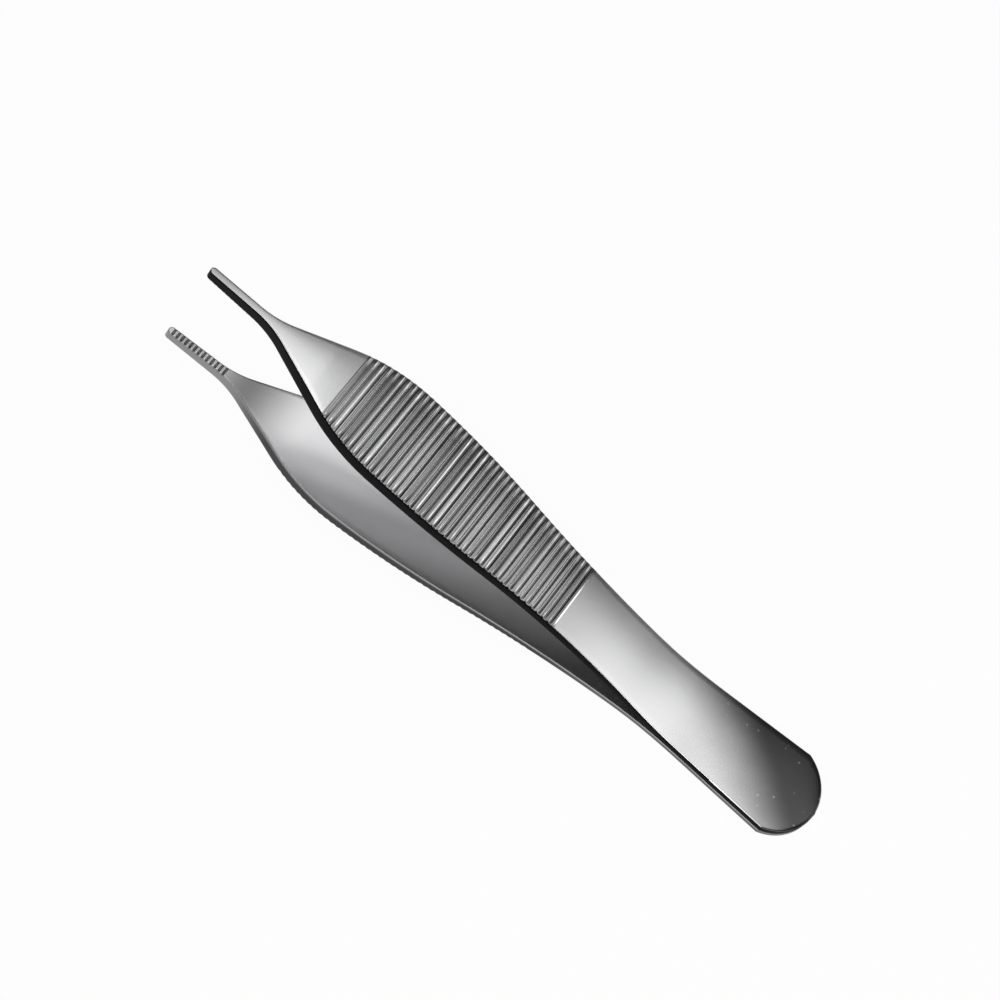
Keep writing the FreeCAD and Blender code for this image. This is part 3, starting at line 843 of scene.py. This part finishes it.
@dataclass
class Forceps:
    """The two arms, welded face to face at the heel."""

    upper: Arm = field(default_factory=lambda: Arm(Side.UPPER))
    lower: Arm = field(default_factory=lambda: Arm(Side.LOWER))

    def build(self) -> None:
        """Make both arms, dress them and let them stand for their CAD nodes."""
        turn, thick = self.upper.rest_angle, self.upper.heel_thickness * MM
        shift = Vector((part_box("upper_arm")[1].x - thick * sin(turn), 0.0, thick * cos(turn)))
        finishes = {
            # The satin face carries the painted shade of the heel end and two bands of painted shade.
            Zone.FACE: SteelFinish(
                "satin_face", grey=0.66, roughness=0.25, painted_ramp=HEEL_PAINTED_SHADE, painted_bands=FACE_SHADE_BANDS, specks=True
            ),
            # The grip's high grey shows in full only in its painted highlight gleams; painted shade
            # darkens the rest.
            Zone.GRIP: SteelFinish("polished_grip", grey=0.95, roughness=0.12, streak=0.0, bump=0.0),
            # The rims carry painted shade: near black on the upper arm, dark grey on the lower one.
            Zone.WALL: SteelFinish("painted_shade_upper_rim", grey=0.004, roughness=0.45, metallic=0.0, shine=0.05),
            Zone.EDGE: SteelFinish("painted_shade_lower_rim", grey=0.26, roughness=0.34),
            # The inner faces' grey, set above the satin face's, is painted light; their darkening ramp and
            # root bands are painted shade.
            Zone.INNER: SteelFinish(
                "inner_face", grey=0.84, roughness=0.3, painted_ramp=INNER_PAINTED_SHADE, painted_bands=ROOT_SHADE_BANDS
            ),
        }
        materials = {zone: finish.make() for zone, finish in finishes.items()}
        for arm in (self.upper, self.lower):
            piece = arm.build(shift)
            arm.dress(piece, shift, materials)
            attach(piece, "root")
            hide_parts(arm.node)
            LOG.info("%s: %d faces", piece.name, len(piece.data.polygons))


@dataclass
class Softbox:
    """A flat soft light.

    Args:
        name: its name.
        place: its centre, in metres.
        size: its width and depth, in metres.
        glow: brightness of its face, where one is white.
        aim: the point it faces.
    """

    name: str
    place: tuple[float, float, float]
    size: tuple[float, float]
    glow: float
    aim: tuple[float, float, float] = (0.0, 0.0, 0.0)

    def build(self) -> None:
        """Hang the light and point it at its aim."""
        lamp = bpy.data.lights.new(self.name, "AREA")
        lamp.shape = "RECTANGLE"
        lamp.size, lamp.size_y = self.size
        lamp.energy = self.glow * pi * self.size[0] * self.size[1]
        hung = bpy.data.objects.new(self.name, lamp)
        bpy.context.scene.collection.objects.link(hung)
        back = (Vector(self.place) - Vector(self.aim)).normalized()
        right = (Vector((1.0, 0.0, 0.0)) - back * back.x).normalized()
        turned = Matrix((right, back.cross(right), back)).transposed().to_4x4()
        turned.translation = Vector(self.place)
        hung.matrix_world = turned
        hung.visible_camera = False
        LOG.info("%s hung", self.name)


@dataclass
class Studio:
    """Pale table, white backdrop, dark ceiling and soft lights.

    Args:
        table_half: half the table's width, in metres.
        table_drop: how far the table lies under the forceps, in metres.
        table_grey: how bright its matt surface is.
        whiteness: share of plain white that the eye sees on it.
        backdrop_top: how steeply upwards the ceiling starts, where straight up is one.
        backdrop_bend: share of that up to which the backdrop stays bright.
        backdrop_bend_level: how bright it still is there.
        ceiling: how bright the ceiling is.
        lights: the soft lights.
    """

    table_half: float = 3.0
    table_drop: float = 0.00002
    table_grey: float = 0.9
    whiteness: float = 0.94
    backdrop_top: float = 0.3
    backdrop_bend: float = 0.6
    backdrop_bend_level: float = 0.85
    ceiling: float = 0.1
    lights: tuple[Softbox, ...] = (
        Softbox("left_softbox", (-0.065, 0.06, 0.26), (0.12, 0.23), 1.7, (-0.065, 0.06, 0.0)),
        Softbox("middle_softbox", (0.037, 0.06, 0.26), (0.074, 0.23), 0.9, (0.037, 0.06, 0.0)),
        Softbox("right_softbox", (0.1525, 0.065, 0.25), (0.135, 0.25), 1.4, (0.1525, 0.065, 0.0)),
        Softbox("side_softbox", (0.36, 0.24, 0.16), (0.16, 0.16), 1.5),
        Softbox("front_softbox", (0.0, -0.5, 0.5), (0.7, 0.5), 2.8),
    )

    def build(self) -> None:
        """Make the table, the backdrop and the lights."""
        self._lay_table()
        self._paint_world()
        for light in self.lights:
            light.build()

    def _background_rays(self, recipe: Recipe) -> Wire:
        """One for rays that should see the plain background."""
        camera = recipe.node("ShaderNodeLightPath", {}, {}, "Is Camera Ray")
        glossy = recipe.node("ShaderNodeLightPath", {}, {}, "Is Glossy Ray")
        clear = recipe.node("ShaderNodeLightPath", {}, {}, "Is Transmission Ray")
        return camera.most(glossy).most(clear)

    def _lay_table(self) -> None:
        """A broad plane just under the forceps, white to the eye, that still takes a faint shadow."""
        bpy.ops.object.select_all(action="DESELECT")
        bpy.ops.mesh.primitive_plane_add(size=2 * self.table_half, location=(0.0, 0.0, -self.table_drop))
        table = bpy.context.object
        table.name = "table"
        material = bpy.data.materials.new("pale_table")
        material.use_nodes = True
        recipe = Recipe(material.node_tree)
        colour = (self.table_grey, self.table_grey, self.table_grey, 1.0)
        matt = recipe.node("ShaderNodeBsdfDiffuse", {}, {"Color": colour}, "BSDF")
        white = recipe.node("ShaderNodeEmission", {}, {"Color": WHITE, "Strength": 1.0})
        share = self._background_rays(recipe) * self.whiteness
        mixed = recipe.node("ShaderNodeMixShader", {}, {0: share, 1: matt, 2: white})
        recipe.finish("ShaderNodeOutputMaterial", "Surface", mixed)
        table.data.materials.append(material)

    def _paint_world(self) -> None:
        """White to the camera; to the metal, a white backdrop low down under a dark ceiling."""
        world = bpy.data.worlds.new("studio")
        bpy.context.scene.world = world
        world.use_nodes = True
        recipe = Recipe(world.node_tree)
        heading = recipe.node("ShaderNodeTexCoord", {}, {}, "Generated")
        height = recipe.node("ShaderNodeSeparateXYZ", {}, {"Vector": heading}, "Z")
        camera = recipe.node("ShaderNodeLightPath", {}, {}, "Is Camera Ray")
        bend = (self.backdrop_top * self.backdrop_bend, self.backdrop_bend_level)
        stops = [(0.0, 1.0), bend, (self.backdrop_top, self.ceiling)]
        walls = recipe.node("ShaderNodeValToRGB", {"stops": stops}, {"Fac": height}, "Color")
        level = recipe.node("ShaderNodeRGBToBW", {}, {"Color": walls})
        strength = camera + (1 - camera) * level
        white = {"Color": WHITE, "Strength": strength}
        recipe.finish("ShaderNodeOutputWorld", "Surface", recipe.node("ShaderNodeBackground", {}, white))


@dataclass
class View:
    """The photograph's viewpoint.

    Args:
        azimuth: turn about Z, in degrees.
        elevation: height above the table, in degrees.
        roll: how far the picture is turned clockwise, in degrees.
        distance: from the aim, in metres.
        aim_height: height of the aim over the origin, in metres.
        scale: pixels to a metre at the aim.
        aim_pixel: where the aim falls in the picture, in pixels.
        picture: width and height of that picture, in pixels.
        sensor_width: width of the camera's sensor, in millimetres.
        clip_start: how near the camera sees, in metres.
    """

    azimuth: float = 3.33
    elevation: float = 57.76
    roll: float = 33.87
    distance: float = 0.607
    aim_height: float = 0.008
    scale: float = 6760.0
    aim_pixel: tuple[float, float] = (501.0, 555.0)
    picture: float = 1000.0
    sensor_width: float = 36.0
    clip_start: float = 0.01

    def build(self) -> None:
        """Place the camera."""
        az, el, roll = radians(self.azimuth), radians(self.elevation), radians(self.roll)
        back = Vector((sin(az) * cos(el), -cos(az) * cos(el), sin(el)))
        right = Vector((cos(az), sin(az), 0.0))
        up = back.cross(right)
        turned_right = right * cos(roll) + up * sin(roll)
        turned_up = up * cos(roll) - right * sin(roll)
        lens = bpy.data.cameras.new("photo_view")
        lens.sensor_width = self.sensor_width
        lens.lens = lens.sensor_width * self.scale * self.distance / self.picture
        lens.shift_x = (self.picture / 2 - self.aim_pixel[0]) / self.picture
        lens.shift_y = (self.aim_pixel[1] - self.picture / 2) / self.picture
        lens.clip_start = self.clip_start
        camera = bpy.data.objects.new("photo_view", lens)
        bpy.context.scene.collection.objects.link(camera)
        turned = Matrix((turned_right, turned_up, back)).transposed().to_4x4()
        turned.translation = Vector((0.0, 0.0, self.aim_height)) + back * self.distance
        camera.matrix_world = turned
        bpy.context.scene.camera = camera
        LOG.info("camera placed")


def main() -> None:
    """Load the frame, and build the forceps, the studio and the view."""
    logging.basicConfig(level=logging.INFO, format="%(name)s: %(message)s")
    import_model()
    Forceps().build()
    Studio().build()
    View().build()
    scene = bpy.context.scene
    scene.view_settings.view_transform = "Standard"
    LOG.info("sizes noted")


if __name__ == "__main__":
    main()
